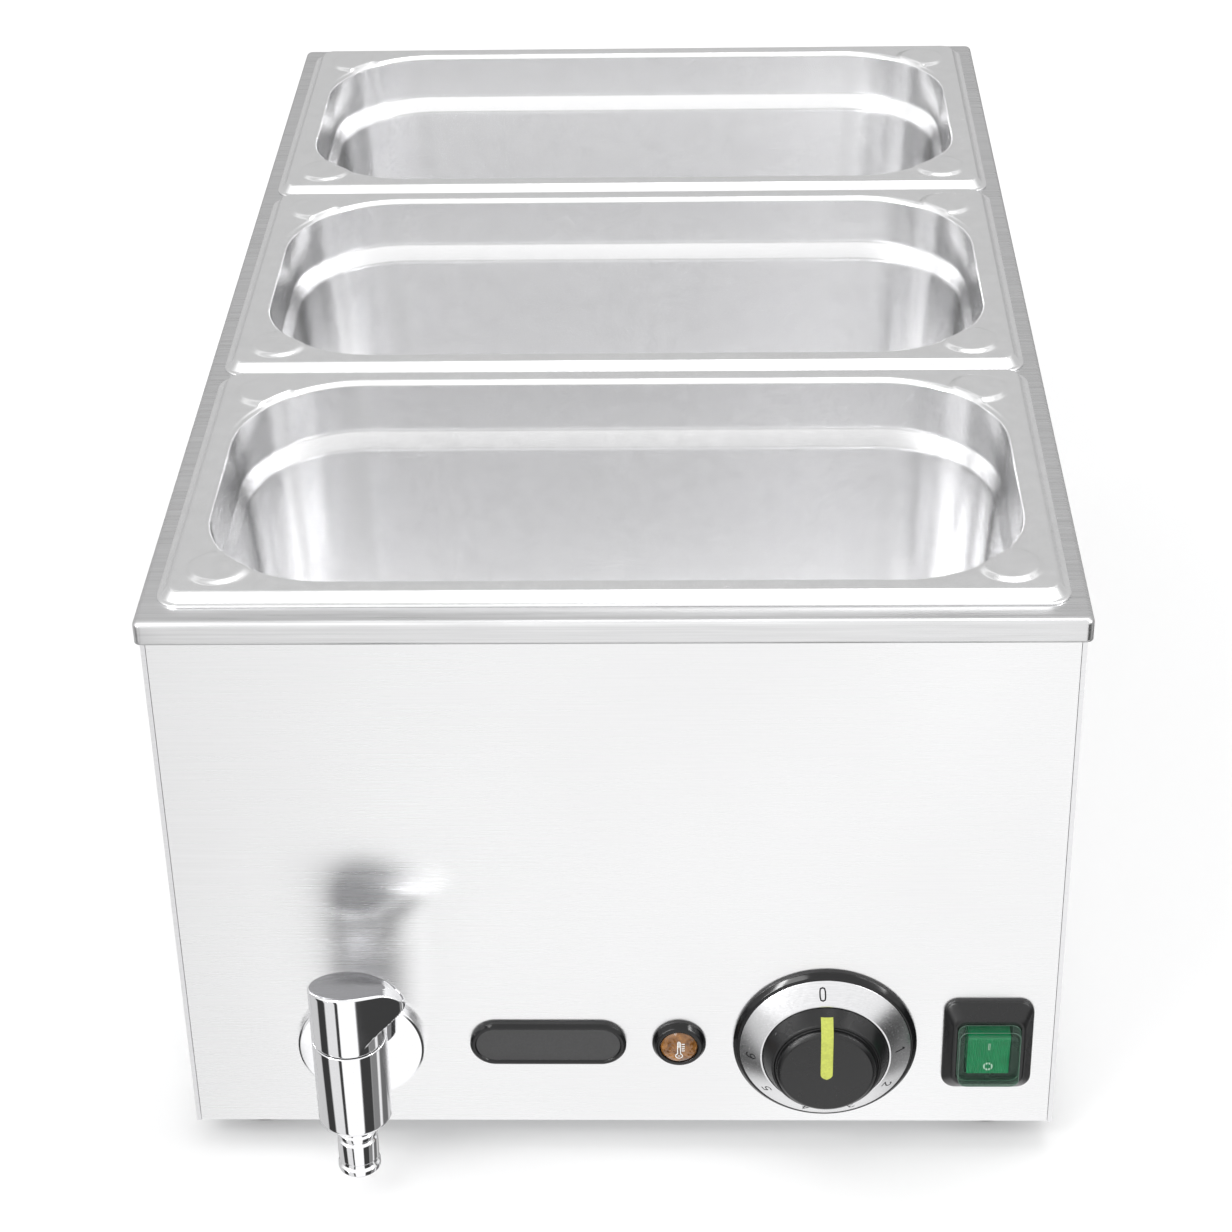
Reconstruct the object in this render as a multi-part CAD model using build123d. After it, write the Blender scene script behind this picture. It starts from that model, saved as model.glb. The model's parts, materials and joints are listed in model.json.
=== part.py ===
from build123d import *
import os
from math import radians, cos, sin

# Counter-top wet heated food well with three lift-out pans, a drain tap, a
# thermostat dial, a signal lamp and a rocker switch on the front panel.
# Millimetres, +Z up, -Y towards the user.  The origin is on the surface the
# feet stand on, below the middle of the whole outline.

# ---------------------------------------------------------------- dimensions
DECK_W = 338.0          # width of the top plate
DECK_D = 546.5          # depth of the top plate
DECK_TOP = 244.0        # height of the top plate's upper face
DECK_LIP = 9.0          # depth of its turned-down edge
DECK_T = 0.8
DECK_FRONT = -254.5     # y of its front edge
DECK_BACK = DECK_FRONT + DECK_D
CASE_W = 334.0          # outer width of the side walls
CASE_T = 0.8
PANEL_Y = -252.5        # outer face of the front panel
PANEL_T = 1.0
CASE_BACK = 290.0       # outer face of the rear wall
CASE_BOTTOM = 12.0      # lower edge of the casing
HEM_T = 1.7             # hemmed front edge of each side wall
FLOOR_T = 1.0           # bottom plate

PAN_L = 325.0           # 1/3 size food pan, outer rim length
PAN_W = 176.0           # outer rim width
PAN_DEPTH = 150.0
PAN_PITCH = 176.6
PAN_T = 0.8
PAN_RIM_H = 5.3         # rim's upper face above the deck
PAN_FRONT = DECK_FRONT + 10.0
RIM_LIP = 1.5           # flat outer lip that rests on the deck
RIM_STEP = 3.0          # sloping step inside it
RIM_FLAT = 8.0          # flat flange up to the mouth
MOUTH_R = 48.0

WELL_W = 311.0          # mouth of the deck and inside of the tank
WELL_D = 515.2
WELL_R = 20.0
TANK_T = 1.0
TANK_FLOOR = 82.0       # upper face of the tank's floor
FOOT_H = 12.0
FOOT_X = 143.0
FOOT_Y = (-227.0, 264.0)

CTRL_Z = 52.0           # height of every control on the front panel
TAP_X = -99.6
BADGE_X = -27.8
LAMP_X = 22.4
DIAL_X = 78.2
SWITCH_X = 140.2
TAP_P = 30.0            # tap barrel axis in front of the panel
BARREL_R = 14.0
BARREL_Z0, BARREL_Z1 = 42.0, 80.6
HANDLE_Z0, HANDLE_Z1 = 81.2, 104.3   # HANDLE_Z1: top at the axis
HANDLE_RAKE = 0.30      # the top face rises towards the user by this slope
NOZZLE_Z0 = 17.0
DRAIN_Y = -212.0        # drain outlet in the tank's floor
GLAND_X, GLAND_Z = 120.0, 38.0
GLAND_END = 297.5
ROCKER_TILT = 6.0       # each side of the middle

os.makedirs("parts", exist_ok=True)
nodes = {}


def solid(s):
    return s if isinstance(s, (Solid, Compound, Part)) else Part() + s


def rrect(w, d, r, z, cx=0.0, cy=0.0):
    """Rounded rectangle as a face at height z."""
    return Plane(origin=(cx, cy, z)) * RectangleRounded(w, d, r)


def slab(w, d, r, z0, z1, cx=0.0, cy=0.0):
    """Rounded-corner block between two heights."""
    return extrude(rrect(w, d, r, z0, cx, cy), z1 - z0)


def box(x0, x1, y0, y1, z0, z1):
    return Pos((x0 + x1) / 2, (y0 + y1) / 2, (z0 + z1) / 2) * Box(x1 - x0, y1 - y0, z1 - z0)


def zcyl(x, y, z0, z1, r):
    return Pos(x, y, (z0 + z1) / 2) * Cylinder(r, z1 - z0)


def front(x, z, shape):
    """Places a shape whose +Z is 'out of the panel' on the panel at (x, z)."""
    return Plane(origin=(x, PANEL_Y, z), x_dir=(1, 0, 0), z_dir=(0, -1, 0)) * shape


def pcyl(x, z, p0, p1, r):
    """Round bar along the panel's normal, p counted outwards."""
    return front(x, z, Pos(0, 0, (p0 + p1) / 2) * Cylinder(r, p1 - p0))


def turned(points):
    """Solid of revolution about local Z from (radius, height) points."""
    pts = [(r, 0, h) for r, h in points]
    f = make_face(Polyline(*pts, close=True))
    return revolve(f, Axis.Z, 360)


def hexnut(af, r, z0, z1):
    body = extrude(Plane(origin=(0, 0, z0)) * RegularPolygon(af / 2, 6, major_radius=False), z1 - z0)
    return body - Pos(0, 0, (z0 + z1) / 2) * Cylinder(r, (z1 - z0) + 2)


def tube(points, radii, r, r_in=0.0):
    """Round bar or tube along straight runs joined by tangent arcs."""
    line = FilletPolyline(*points, radius=radii) if len(points) > 2 else Line(points[0], points[1])
    start = Vector(*points[0])
    d = Vector(*points[1]) - start
    pl = Plane(origin=start, z_dir=d)
    out = sweep(pl * Circle(r), path=line)
    if r_in:
        out = out - sweep(pl * Circle(r_in), path=line)
    return out


def put(name, shape):
    nodes[name] = shape


# ------------------------------------------------------------------ sheetwork
dcy = (DECK_FRONT + DECK_BACK) / 2
well_y0 = PAN_FRONT + 7.0
wcy = well_y0 + WELL_D / 2

deck = slab(DECK_W, DECK_D, 3.0, DECK_TOP - DECK_LIP, DECK_TOP, 0, dcy)
deck = fillet(deck.faces().sort_by(Axis.Z)[-1].edges(), 2.0)
deck -= slab(DECK_W - 2 * DECK_T, DECK_D - 2 * DECK_T, 2.2, DECK_TOP - DECK_LIP - 1, DECK_TOP - DECK_T, 0, dcy)
deck -= slab(WELL_W, WELL_D, WELL_R, DECK_TOP - 5, DECK_TOP + 5, 0, wcy)
put("deck_plate", deck)

tank_z0 = TANK_FLOOR - TANK_T
tank_top = DECK_TOP - DECK_T
outer = slab(WELL_W + 2 * TANK_T, WELL_D + 2 * TANK_T, WELL_R + TANK_T, tank_z0, tank_top, 0, wcy)
outer = fillet(outer.faces().sort_by(Axis.Z)[0].edges(), 9.0)
inner = slab(WELL_W, WELL_D, WELL_R, TANK_FLOOR, tank_top + 1, 0, wcy)
inner = fillet(inner.faces().sort_by(Axis.Z)[0].edges(), 8.0)
rim = slab(WELL_W + 14, WELL_D + 14, WELL_R + 4, tank_top - 1.0, tank_top, 0, wcy)
tank = outer + rim - inner
tank -= zcyl(TAP_X, DRAIN_Y, tank_z0 - 1, TANK_FLOOR + 1, 6.0)
put("water_tank", tank)

hw = CASE_W / 2
case = box(-hw, hw, PANEL_Y, CASE_BACK, CASE_BOTTOM, tank_top)
case = fillet([e for e in case.edges().filter_by(Axis.Z) if e.center().Y > 0], 3.0)
ci = box(-hw + CASE_T, hw - CASE_T, PANEL_Y - 1, CASE_BACK - CASE_T, CASE_BOTTOM - 1, tank_top + 1)
ci = fillet([e for e in ci.edges().filter_by(Axis.Z) if e.center().Y > 0], 2.2)
case -= ci
for sx in (-1, 1):
    a, b = sorted((sx * (hw - HEM_T), sx * (hw - CASE_T)))
    case += box(a, b, PANEL_Y, PANEL_Y + 9, CASE_BOTTOM, tank_top)
    a, b = sorted((sx * (hw - 12), sx * (hw - CASE_T)))
    case += box(a, b, PANEL_Y + 12, CASE_BACK - CASE_T, 13.0, 13.8)
case += box(-hw + 12, hw - 12, CASE_BACK - 12, CASE_BACK - CASE_T, 13.0, 13.8)
case -= Pos(GLAND_X, CASE_BACK, GLAND_Z) * Rot(90, 0, 0) * Cylinder(8.0, 6)
SCREWS = [(sx * 160.5, y) for sx in (-1, 1) for y in (-190.0, 20.0, 225.0)] + [(-80.0, 283.5), (80.0, 283.5)]
for x, y in SCREWS:
    case -= zcyl(x, y, 10, 18, 2.0)
put("casing_shell", case)

pw = hw - HEM_T - 0.2
panel = box(-pw, pw, PANEL_Y, PANEL_Y + PANEL_T, CASE_BOTTOM, tank_top)
panel = fillet([e for e in panel.edges().filter_by(Axis.X) if e.center().Y < PANEL_Y + 0.01 and e.center().Z < 20], 0.8)
for sx in (-1, 1):
    a, b = sorted((sx * (pw - 1.0), sx * pw))
    panel += box(a, b, PANEL_Y + PANEL_T, PANEL_Y + 13, CASE_BOTTOM + 3, tank_top)
panel += box(-pw + 12, pw - 12, PANEL_Y + PANEL_T, PANEL_Y + 12, 13.0, 14.0)
panel += box(-pw + 12, pw - 12, PANEL_Y + PANEL_T, PANEL_Y + 7, tank_top - 2.2, tank_top - 1.2)
panel -= pcyl(TAP_X, CTRL_Z, -3, 3, 10.0)
panel -= pcyl(LAMP_X, CTRL_Z, -3, 3, 6.8)
panel -= pcyl(DIAL_X, CTRL_Z, -3, 3, 5.0)
for a in (90, 210, 330):
    panel -= pcyl(DIAL_X + 29 * cos(radians(a)), CTRL_Z + 29 * sin(radians(a)), -3, 3, 1.6)
for dx in (-14, 14):
    panel -= pcyl(DIAL_X + dx, CTRL_Z, -3, 3, 2.1)
panel -= front(SWITCH_X, CTRL_Z, Pos(0, 0, 0) * Box(22.0, 30.0, 8))
put("front_panel", panel)

floor = box(-hw + 2.2, hw - 2.2, PANEL_Y + PANEL_T + 0.2, CASE_BACK - 1, CASE_BOTTOM, CASE_BOTTOM + FLOOR_T)
floor = fillet([e for e in floor.edges().filter_by(Axis.Z) if e.center().Y > 0], 3.0)
for x, y in SCREWS:
    floor -= zcyl(x, y, 10, 18, 2.0)
for sx in (-1, 1):
    for y in FOOT_Y:
        floor -= zcyl(sx * FOOT_X, y, 10, 18, 2.2)
for i in range(6):
    for cx in (-60.0, 60.0):
        floor -= extrude(Plane(origin=(cx, -170 + 14 * i, 10)) * SlotOverall(50, 4), 6)
        floor -= extrude(Plane(origin=(cx, 130 + 14 * i, 10)) * SlotOverall(50, 4), 6)
floor -= zcyl(140, 235, 10, 18, 3.1)
put("bottom_plate", floor)

feet, fscrews, fnuts = [], [], []
for sx in (-1, 1):
    for y in FOOT_Y:
        f = turned([(2.2, 6.0), (5.2, 6.0), (5.2, 0.0), (12.2, 0.0), (13.0, 1.0), (11.4, FOOT_H), (2.2, FOOT_H)])
        feet.append(Pos(sx * FOOT_X, y, 0) * f)
        s = turned([(0, 3.4), (3.2, 3.4), (4.2, 4.2), (4.2, 6.0), (2.0, 6.0), (2.0, 19.0), (0, 19.0)])
        fscrews.append(Pos(sx * FOOT_X, y, 0) * s)
        fnuts.append(Pos(sx * FOOT_X, y, 0) * hexnut(7.0, 2.1, 13.0, 16.2))
put("rubber_feet", Compound(children=feet))
put("foot_screws", Compound(children=fscrews))
put("foot_nuts", Compound(children=fnuts))
cs = []
for x, y in SCREWS:
    s = turned([(0, 10.0), (2.6, 10.0), (3.5, 10.9), (3.5, 12.0), (1.9, 12.0), (1.9, 19.0), (0, 20.0)])
    cs.append(Pos(x, y, 0) * s)
put("casing_screws", Compound(children=cs))


# ----------------------------------------------------------------------- pans
def ring_loft(secs):
    """Ruled loft through rounded rectangles given as (w, d, r, z)."""
    return loft([rrect(w, d, r, z).face() if hasattr(rrect(w, d, r, z), "face") else rrect(w, d, r, z)
                 for w, d, r, z in secs], ruled=True)


def make_pan(cy):
    zt = DECK_TOP + PAN_RIM_H
    zb = zt - PAN_DEPTH
    t = PAN_T
    mw = PAN_L - 2 * (RIM_LIP + RIM_STEP + RIM_FLAT)
    md = PAN_W - 2 * (RIM_LIP + RIM_STEP + RIM_FLAT)
    # (inset of the inner wall from the mouth, depth below the rim)
    prof = [(0.0, 0.0), (1.5, 25.0), (4.3, 28.5), (14.0, PAN_DEPTH - t)]

    def secs(grow, shift, top):
        out = []
        for i, (ins, dep) in enumerate(prof):
            z = zt - dep - (shift if i else 0.0)
            if i == 0:
                z = top
            out.append((mw - 2 * ins + 2 * grow, md - 2 * ins + 2 * grow, MOUTH_R - ins * 0.9 + grow, z))
        return out

    out_body = ring_loft(secs(t, t, zt - 0.2))
    out_body = fillet(out_body.faces().sort_by(Axis.Z)[0].edges(), 12.8)
    cavity = ring_loft(secs(0.0, 0.0, zt + 0.001))
    cavity = fillet(cavity.faces().sort_by(Axis.Z)[0].edges(), 12.0)
    cavity += slab(mw, md, MOUTH_R, zt, zt + 3)
    e1 = RIM_LIP + RIM_STEP
    flange = ring_loft([(PAN_L - 2 * RIM_LIP, PAN_W - 2 * RIM_LIP, 7.5, DECK_TOP + t),
                        (PAN_L - 2 * e1, PAN_W - 2 * e1, 5.0, zt)])
    flange += slab(PAN_L, PAN_W, 9.0, DECK_TOP, DECK_TOP + t)
    under = ring_loft([(PAN_L - 2 * RIM_LIP - 1.6, PAN_W - 2 * RIM_LIP - 1.6, 6.7, DECK_TOP),
                       (PAN_L - 2 * e1 - 1.6, PAN_W - 2 * e1 - 1.6, 4.2, zt - t)])
    under += slab(PAN_L - 2 * RIM_LIP - 1.6, PAN_W - 2 * RIM_LIP - 1.6, 6.7, DECK_TOP - 1, DECK_TOP)
    pan = (flange - under) + out_body - cavity
    return Pos(0, cy, 0) * pan


for i, name in enumerate(("gn_pan_front", "gn_pan_middle", "gn_pan_rear")):
    put(name, make_pan(PAN_FRONT + PAN_W / 2 + i * PAN_PITCH))

# ------------------------------------------------------------------------ tap
ty = PANEL_Y - TAP_P
flange = turned([(9.8, 1.0), (20.0, 1.0), (20.0, 0.0), (24.2, 0.0), (24.2, 1.2), (23.2, 2.2), (16.0, 3.4), (12.2, 4.6),
                 (9.8, 4.6)])
put("tap_flange", front(TAP_X, CTRL_Z, flange))
put("tap_gasket", front(TAP_X, CTRL_Z, turned([(9.8, 0.0), (19.8, 0.0), (19.8, 1.0), (9.8, 1.0)])))

barrel = Pos(TAP_X, ty, 0) * turned([(0, BARREL_Z0), (BARREL_R - 2.0, BARREL_Z0), (BARREL_R - 0.6, BARREL_Z0 + 0.6),
                                    (BARREL_R, BARREL_Z0 + 2.0), (BARREL_R, BARREL_Z1 - 0.5), (BARREL_R - 0.5, BARREL_Z1),
                                    (0, BARREL_Z1)])
barrel += pcyl(TAP_X, CTRL_Z, -16.0, TAP_P, 9.2)
barrel -= zcyl(TAP_X, ty, 46.6, 90.0, 8.3)
barrel -= zcyl(TAP_X, ty, 41.0, 46.0, 7.0)
barrel -= zcyl(TAP_X, ty, 45.0, 47.0, 4.5)
barrel -= pcyl(TAP_X, CTRL_Z, -17.0, TAP_P, 5.0)
put("tap_body", barrel)

noz = turned([(4.2, NOZZLE_Z0), (7.4, NOZZLE_Z0), (8.1, 18.0), (8.1, 19.6), (7.2, 20.8), (7.2, 22.4), (7.7, 23.2),
              (7.7, 31.6), (7.0, 32.6), (7.0, 33.4), (7.9, 34.2), (7.9, 35.6), (7.2, 36.4), (7.2, 38.2), (6.2, 38.8),
              (6.2, 39.4), (6.8, 40.0), (6.8, 45.8), (4.2, 45.8)])
put("hose_nozzle", Pos(TAP_X, ty, 0) * noz)
put("tap_locknut", front(TAP_X, CTRL_Z, hexnut(27.0, 9.6, -8.0, -1.0)))
un = hexnut(24.0, 9.6, -16.1, -9.5) + (hexnut(24.0, 7.7, -20.0, -16.1))
put("drain_union_nut", front(TAP_X, CTRL_Z, un))
dp = [(TAP_X, PANEL_Y + 16.3, CTRL_Z), (TAP_X, DRAIN_Y, CTRL_Z), (TAP_X, DRAIN_Y, tank_z0)]
put("drain_pipe", tube(dp, 14.0, 7.5, 6.0))
put("packing_nut", Pos(TAP_X, ty, 0) * turned([(4.4, 70.0), (8.2, 70.0), (8.2, 80.2), (4.4, 80.2)]))

plug = Pos(TAP_X, ty, 0) * turned([(0, 47.3), (8.0, 47.3), (8.0, 58.6), (6.9, 58.6), (6.9, 60.2), (8.0, 60.2), (8.0, 62.6),
                                  (6.9, 62.6), (6.9, 64.2), (8.0, 64.2), (8.0, 66.0), (4.0, 66.0), (4.0, 96.0), (0, 96.0)])
plug -= zcyl(TAP_X, ty, 46, CTRL_Z, 4.0)
plug -= Pos(TAP_X - 6, ty, CTRL_Z) * Rot(0, 90, 0) * Cylinder(4.0, 12)
plug -= Pos(TAP_X, ty, CTRL_Z) * Sphere(4.0)
put("tap_spindle", plug)
put("spindle_seals", Pos(TAP_X, ty, 0) * Compound(children=[Pos(0, 0, 59.4) * Torus(7.65, 0.45),
                                                            Pos(0, 0, 63.4) * Torus(7.65, 0.45)]))

# Handle: teardrop in plan, its beak points along +X and is undercut by a
# hollow slope that runs from the tip down to the round part.  The top face
# is raked: highest on the user's side.
TIP_X, TIP_Y, TIP_R = 17.6, -3.4, 4.5
outline = []
for k in range(33):
    ta = radians(46.9 + (291.1 - 46.9) * k / 32)
    outline.append((BARREL_R * cos(ta), BARREL_R * sin(ta)))
for k in range(13):
    ta = radians(-68.9 + (46.9 + 68.9) * k / 12)
    outline.append((TIP_X + TIP_R * cos(ta), TIP_Y + TIP_R * sin(ta)))
tear = make_face(Polyline(*outline, close=True))
handle = extrude(Plane(origin=(0, 0, HANDLE_Z0)) * (tear + Circle(BARREL_R)), 32.0)
hc = Polyline((26, HANDLE_Z0 - 1), (5.0, HANDLE_Z0 - 1), (7.0, 84.0), (9.8, 87.5), (13.0, 90.0), (16.2, 92.5), (19.6, 95.5),
              (22.0, 97.4), (26, 98.0), close=True)
hcut = extrude(Plane(origin=(0, 20, 0), x_dir=(1, 0, 0), z_dir=(0, -1, 0)) * make_face(hc), 40)
hcut = hcut - extrude(Plane(origin=(0, 0, HANDLE_Z0 - 2)) * Circle(BARREL_R), 60)
handle -= hcut
handle -= Plane(origin=(0, 0, HANDLE_Z1), z_dir=(0.0, HANDLE_RAKE, 1)) * Pos(0, 0, 10) * Box(120, 120, 20)
handle -= Plane(origin=(14.5, 0, HANDLE_Z1), z_dir=(0.6, HANDLE_RAKE, 1)) * Pos(0, 0, 10) * Box(120, 120, 20)
handle -= turned([(6.5, HANDLE_Z0 - 1), (11.8, HANDLE_Z0 - 1), (11.8, 92.0), (6.5, 94.0)])
handle -= Pos(0, 0, 86.5) * Cylinder(4.1, 20)
handle -= Pos(0, 10, 88.0) * Rot(90, 0, 0) * Cylinder(1.6, 16)
put("tap_handle", Pos(TAP_X, ty, 0) * handle)
put("handle_grub_screw", Pos(TAP_X, ty, 0) * (Pos(0, 8.8, 88.0) * Rot(90, 0, 0) * Cylinder(1.5, 9.2)))

# ------------------------------------------------------ dial, knob, thermostat
bez = turned([(24.3, 0), (35.1, 0), (35.1, 0.8), (32.9, 2.5), (24.3, 7.7)])
for a in (90, 210, 330):
    bez += Pos(29 * cos(radians(a)), 29 * sin(radians(a)), -1.4) * Cylinder(1.5, 3.0)
put("dial_bezel", front(DIAL_X, CTRL_Z, bez))
put("dial_ring", front(DIAL_X, CTRL_Z, turned([(32.6, 2.80), (24.3, 7.82), (24.2, 8.6), (24.9, 8.5), (32.7, 3.5)])))

cap_prof = [(22.3, 1.0), (23.8, 1.0), (23.8, 8.9), (20.4, 15.2), (19.6, 15.6), (19.3, 16.8), (18.6, 17.8), (17.4, 18.2),
            (0, 18.4)]
cap = turned(cap_prof + [(0, 16.2), (17.6, 16.0), (18.9, 14.6), (22.3, 8.6)])
hub = Pos(0, 0, 8.7) * Cylinder(6.0, 15.4)
cap += hub
bore = Pos(0, 0, 8.0) * Cylinder(3.1, 14.8) - Pos(0, 5.75, 8.0) * Box(12, 6, 20)
cap -= bore
slotp = Plane(origin=(0, 0, 0)) * (make_face(Polyline((-2.3, 0), (2.3, 0), (2.3, 22.2), (-2.3, 22.2), close=True)) + Circle(2.3))
prism = extrude(slotp, 30)
pout = turned([(0, 18.9), (17.7, 18.7), (19.1, 18.2), (20.0, 17.0), (24.3, 9.1), (24.3, 7.0), (0, 7.0)])
pin_ = turned([(0, 17.2), (16.8, 17.1), (17.8, 16.4), (18.4, 15.4), (21.9, 9.0), (21.9, 6.0), (0, 6.0)])
pointer = prism & (pout - pin_)
cap = cap - pointer
put("knob_cap", front(DIAL_X, CTRL_Z, cap))
put("knob_pointer", front(DIAL_X, CTRL_Z, pointer))
shaft = Pos(0, 0, 2.8) * Cylinder(3.0, 24.0) - Pos(0, 5.0, 8.0) * Box(12, 6.4, 15.0)
put("thermostat_shaft", front(DIAL_X, CTRL_Z, shaft))
put("knob_clip", front(DIAL_X, CTRL_Z, Pos(0, 2.2, 8.5) * Box(3.2, 0.5, 9.0)))
tb = Pos(0, 0, -14.0) * Box(44, 40, 26) + Pos(0, 0, -28.5) * Box(30, 30, 3)
tb = tb - Pos(0, 0, -5.5) * Cylinder(3.4, 12) - Pos(-14, 0, -5) * Cylinder(1.9, 12) - Pos(14, 0, -5) * Cylinder(1.9, 12)
for dx in (-8, 8):
    tb += Pos(dx, -10, -33) * Box(6.3, 0.8, 6.0)
put("thermostat_body", front(DIAL_X, CTRL_Z, tb))
ts = turned([(0, -9.5), (1.8, -9.5), (1.8, 0.0), (3.6, 0.0), (3.6, 1.2), (2.4, 2.0), (0, 2.0)])
put("thermostat_screws", Compound(children=[front(DIAL_X + d, CTRL_Z, ts) for d in (-14, 14)]))

# ----------------------------------------------------------------------- lamp
put("lamp_bezel", front(LAMP_X, CTRL_Z, turned([(7.2, 0), (10.3, 0), (10.3, 0.7), (8.6, 3.2), (7.9, 3.5), (7.2, 3.4)])))
put("lamp_lens", front(LAMP_X, CTRL_Z, turned([(0, 0.1), (7.0, 0.1), (7.0, 3.0), (6.2, 3.9), (4.4, 4.7), (2.2, 5.2), (0, 5.3)])))
lb = Pos(0, 0, -12.0) * Cylinder(6.6, 24.0)
for dx in (-3, 3):
    lb += Pos(dx, 0, -27) * Box(0.8, 4.0, 6.0)
put("lamp_body", front(LAMP_X, CTRL_Z, lb))
put("lamp_nut", front(LAMP_X, CTRL_Z, hexnut(18.0, 6.7, -4.5, -1.0)))

# --------------------------------------------------------------------- switch
fr = loft([Pos(0, 0, 1.6) * RectangleRounded(34.2, 42.0, 5.6).face(), Pos(0, 0, 6.2) * RectangleRounded(26.0, 29.8, 4.2).face()], ruled=True)
fr += extrude(RectangleRounded(34.2, 42.0, 5.6), 1.6)
fr -= Pos(0, 0, 3) * Box(17.8, 22.8, 12)
put("switch_frame", front(SWITCH_X, CTRL_Z, fr))
cov = extrude(Pos(0, 0, 6.2) * RectangleRounded(23.6, 27.0, 3.6), 4.3)
cov = fillet(cov.faces().sort_by(Axis.Z)[-1].edges(), 1.4)
cov -= extrude(Pos(0, 0, 6.0) * RectangleRounded(21.8, 25.2, 2.8), 3.6)
put("switch_cover", front(SWITCH_X, CTRL_Z, cov))
sb = Pos(0, 0, -15.0) * Box(21.8, 29.8, 30.0)
sb -= Pos(0, 0, -4.5) * Box(17.8, 22.8, 9.0)
sb -= Pos(0, 0, -2.0) * Rot(0, 90, 0) * Cylinder(1.8, 20.6)
for dx in (-6, 6):
    for dz in (-9, 9):
        sb += Pos(dx, dz, -34) * Box(6.3 * 0.8, 0.8, 8.0)
put("switch_body", front(SWITCH_X, CTRL_Z, sb))
rk_face = make_face(Polyline((-9.6, -5.0), (9.6, -5.0), (9.6, 7.4), (4.0, 6.9), (0, 6.7), (-4.0, 6.9), (-9.6, 7.4), close=True))
rk = extrude(Plane(origin=(-8.0, 0, 0), x_dir=(0, 1, 0), z_dir=(1, 0, 0)) * rk_face, 16.0)
rk += Pos(0, 0, -2.0) * Rot(0, 90, 0) * Cylinder(1.5, 19.6)
rk = rk.rotate(Axis((0, 0, -2.0), (1, 0, 0)), ROCKER_TILT)
put("switch_rocker", front(SWITCH_X, CTRL_Z, rk))

# ---------------------------------------------------------------------- badge
bd = extrude(SlotOverall(60.0, 19.8), 2.4)
bd = chamfer(bd.faces().sort_by(Axis.Z)[-1].edges(), 0.9)
bd -= extrude(Pos(0, 0, 1.9) * SlotOverall(55.6, 15.4), 2)
put("badge_plate", front(BADGE_X, CTRL_Z, bd))

# --------------------------------------------------------- heating and wiring
EZ = 77.6
path = [(-15, -185), (-15, 205), (-60, 205), (-60, -140), (-105, -140), (-105, 235), (105, 235), (105, -140),
        (60, -140), (60, 205), (15, 205), (15, -185)]
put("heating_element", tube([(x, y, EZ) for x, y in path], 22.0, 3.2))
term = []
for x in (-15, 15):
    t_ = Pos(x, -189.1, EZ) * Rot(90, 0, 0) * Cylinder(3.3, 8.0)
    t_ += Pos(x, -197.0, EZ) * Rot(90, 0, 0) * Cylinder(1.8, 9.0)
    term.append(t_)
put("element_terminals", Compound(children=term))
CLAMP_Y = (-70.0, 60.0, 170.0)
STUDS = [(sx * 82.5, y) for sx in (-1, 1) for y in CLAMP_Y]
bars, studs, cn, sn = [], [], [], []
for y in CLAMP_Y:
    b = box(-118, 118, y - 9, y + 9, 72.2, 74.3)
    for sx in (-1, 1):
        b -= zcyl(sx * 82.5, y, 70, 76, 2.7)
    bars.append(b)
for x, y in STUDS:
    studs.append(zcyl(x, y, 49.5, tank_z0, 2.5))
    cn.append(Pos(x, y, 0) * hexnut(8.0, 2.6, 68.2, 72.2))
    sn.append(Pos(x, y, 0) * hexnut(8.0, 2.6, 50.6, 54.6))
put("element_clamps", Compound(children=bars))
put("clamp_studs", Compound(children=studs))
put("clamp_nuts", Compound(children=cn))
put("shield_nuts", Compound(children=sn))
mat = box(-126, 126, -130, 240, 55.8, 67.8)
tray = box(-127.6, 127.6, -131.6, 241.6, 54.6, 66.0) - box(-126.6, 126.6, -130.6, 240.6, 55.6, 70.0)
for x, y in STUDS:
    mat -= zcyl(x, y, 50, 75, 2.8)
    tray -= zcyl(x, y, 50, 75, 2.8)
put("insulation_mat", mat)
put("heat_shield", tray)
put("sensing_bulb", Pos(0, 0, 77.6) * Rot(90, 0, 0) * Cylinder(3.0, 84.0))
clips = []
for y in (-24.0, 24.0):
    c = box(-6.5, 6.5, y - 5, y + 5, 73.2, tank_z0) - Pos(0, y, 77.6) * Rot(90, 0, 0) * Cylinder(3.1, 14)
    clips.append(c)
put("bulb_clips", Compound(children=clips))
capil = [(DIAL_X, PANEL_Y + 31.2, 66.0), (DIAL_X, -214, 66.0), (0, -214, 77.6), (0, -42.2, 77.6)]
put("capillary_tube", tube(capil, 7.0, 0.8))
oc = zcyl(-37.5, 0, 72.5, tank_z0, 8.0) + zcyl(-37.5, 0, 79.8, tank_z0, 11.0)
for dx in (-4, 4):
    oc += box(-37.5 + dx - 0.4, -37.5 + dx + 0.4, -3.1, 3.1, 69.4, 72.6)
put("overheat_cutout", oc)
tblk = box(70, 110, 240, 262, 13.0, 30.0)
for i in range(3):
    tblk -= zcyl(78 + 12 * i, 246, 24, 31, 2.4)
    tblk -= zcyl(78 + 12 * i, 256, 24, 31, 2.4)
put("terminal_block", tblk)
es = zcyl(140, 235, 11.0, 30.0, 3.0) + Pos(140, 235, 0) * (extrude(Plane(origin=(0, 0, 13)) * RegularPolygon(5, 6, major_radius=False), 4))
put("earth_stud", es)
W = []
W.append(tube([(GLAND_X, 272, GLAND_Z), (GLAND_X, 264, GLAND_Z), (98, 252, 34), (90, 252, 33)], [4.0, 3.0], 1.6))
W.append(tube([(90, 238.5, 22), (90, 150, 22), (118, 60, 22), (118, -160, 22), (140, -200, 32), (140, -212, 46)], [40, 40, 20, 7], 2.6))
W.append(tube([(110.5, 236.0, 19), (124, 216, 19), (128, 60, 19), (128, -150, 19), (84, -196, 26), (78, -204, 40)], [12, 40, 30, 8], 1.6))
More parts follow.
